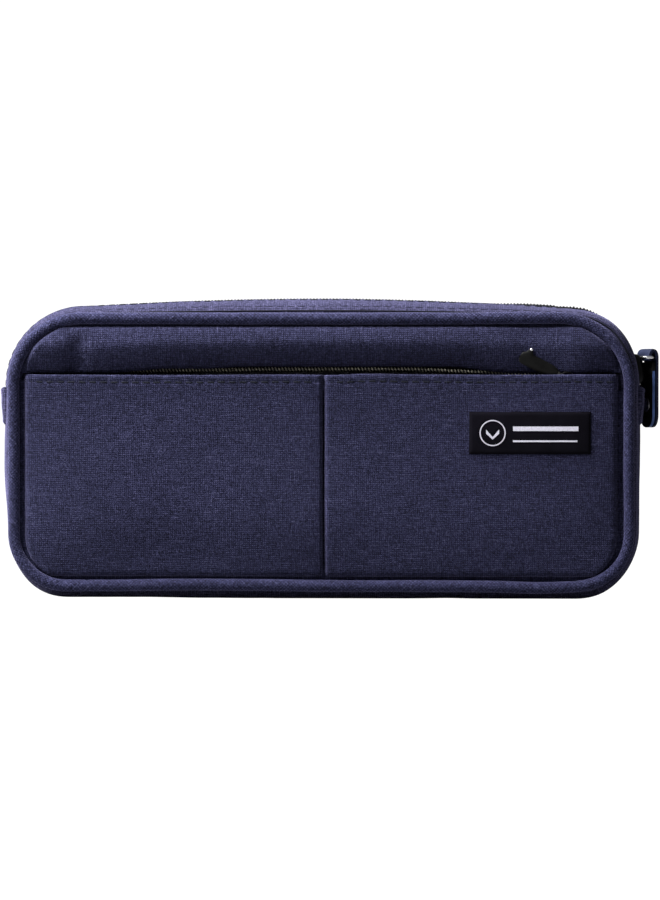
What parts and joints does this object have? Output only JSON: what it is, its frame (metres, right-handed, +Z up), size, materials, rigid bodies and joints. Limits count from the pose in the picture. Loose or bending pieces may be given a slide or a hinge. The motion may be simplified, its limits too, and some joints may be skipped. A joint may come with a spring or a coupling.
{
  "type": "travel document organizer",
  "caption": "Zipped canvas travel document organizer: padded piped pouch, two open front pockets, zipped front pocket, round-the-top zip with a ring pull on one side.",
  "frame": {"origin": "middle of the flat underside of the gusset, on which the pouch stands", "axes": "+X along the pouch's length towards the main zip's pull, -Y out of the front with its pockets, +Z up"},
  "size_m": [0.2646, 0.0441, 0.1209],
  "materials": {
    "navy_canvas": "heathered woven canvas",
    "navy_piping": "bias-cut canvas",
    "navy_gusset": "twill-like woven canvas",
    "black_lining": "smooth nylon lining",
    "foam": "soft padding foam",
    "cord": "piping cord",
    "black_zip": "nylon coil and woven tape",
    "black_metal": "black enamelled die casting",
    "silver_metal": "plated",
    "black_leather": "smooth matte",
    "navy_leather": "canvas-grained with painted edges",
    "black_label": "matte patch",
    "grey_print": "raised print"
  },
  "bodies": {
    "shell": {"front_upper_band": "navy_canvas", "front_backing_panel": "navy_canvas", "slip_pocket_left": "navy_canvas", "slip_pocket_right": "navy_canvas", "slip_pocket_hem": "navy_canvas", "slip_pocket_seam": "navy_canvas", "pocket_zip_tape_upper": "black_zip", "pocket_zip_tape_lower": "black_zip", "pocket_zip_coil_upper": "black_zip", "pocket_zip_coil_lower": "black_zip", "pocket_lining": "black_lining", "front_padding": "foam", "front_lining": "black_lining", "back_panel": "navy_canvas", "back_padding": "foam", "back_lining": "black_lining", "document_sleeve": "black_lining", "card_slots": "black_lining", "front_piping_cover": "navy_piping", "front_piping_cord": "cord", "back_piping_cover": "navy_piping", "back_piping_cord": "cord", "bottom_gusset": "navy_gusset", "bottom_gusset_padding": "foam", "bottom_gusset_lining": "black_lining", "top_gusset_front": "navy_gusset", "top_gusset_back": "navy_gusset", "main_zip_tape_front": "black_zip", "main_zip_tape_back": "black_zip", "main_zip_coil_front": "black_zip", "main_zip_coil_back": "black_zip", "side_tab_left": "navy_gusset", "side_tab_right": "navy_gusset", "label_patch": "black_label", "label_mark_ring": "grey_print", "label_mark_bar_upper": "grey_print", "label_mark_bar_lower": "grey_print"},
    "main_slider": {"main_slider_body": "black_metal"},
    "main_ring": {"main_pull_ring": "silver_metal"},
    "main_tab": {"main_pull_tab": "navy_leather", "main_pull_facing": "black_leather", "main_pull_rivet": "silver_metal"},
    "pocket_slider": {"pocket_slider_body": "black_metal"},
    "pocket_link": {"pocket_pull_link": "black_metal"},
    "pocket_tab": {"pocket_pull_tab": "black_leather", "pocket_pull_rivet": "silver_metal"}
  },
  "joints": [
    {"name": "main_slider_round_corner", "type": "hinge", "parent": "shell", "child": "main_slider", "pos_m": [0.0952, 0, 0.086], "axis": [0, -1, 0], "range_deg": [0, 66]},
    {"name": "main_ring_lift", "type": "hinge", "parent": "main_slider", "child": "main_ring", "pos_m": [0.12809, 0, 0.09707], "axis": [0.342, -0.9397, 0], "range_deg": [0, 75]},
    {"name": "main_tab_swing", "type": "hinge", "parent": "main_ring", "child": "main_tab", "pos_m": [0.13241, 0.00157, 0.09707], "axis": [0.342, -0.9397, 0], "range_deg": [0, 80]},
    {"name": "pocket_slider_slide", "type": "slide", "parent": "shell", "child": "pocket_slider", "axis": [-0.9998, 0, 0.0205], "range_m": [0, 0.185]},
    {"name": "pocket_link_lift", "type": "hinge", "parent": "pocket_slider", "child": "pocket_link", "pos_m": [0.101, -0.01825, 0.08853], "axis": [0.0205, 0, 0.9998], "range_deg": [0, 5]},
    {"name": "pocket_tab_swivel", "type": "hinge", "parent": "pocket_link", "child": "pocket_tab", "pos_m": [0.0985, -0.01825, 0.08858], "axis": [0, 1, 0], "range_deg": [-29, 8]}
  ]
}
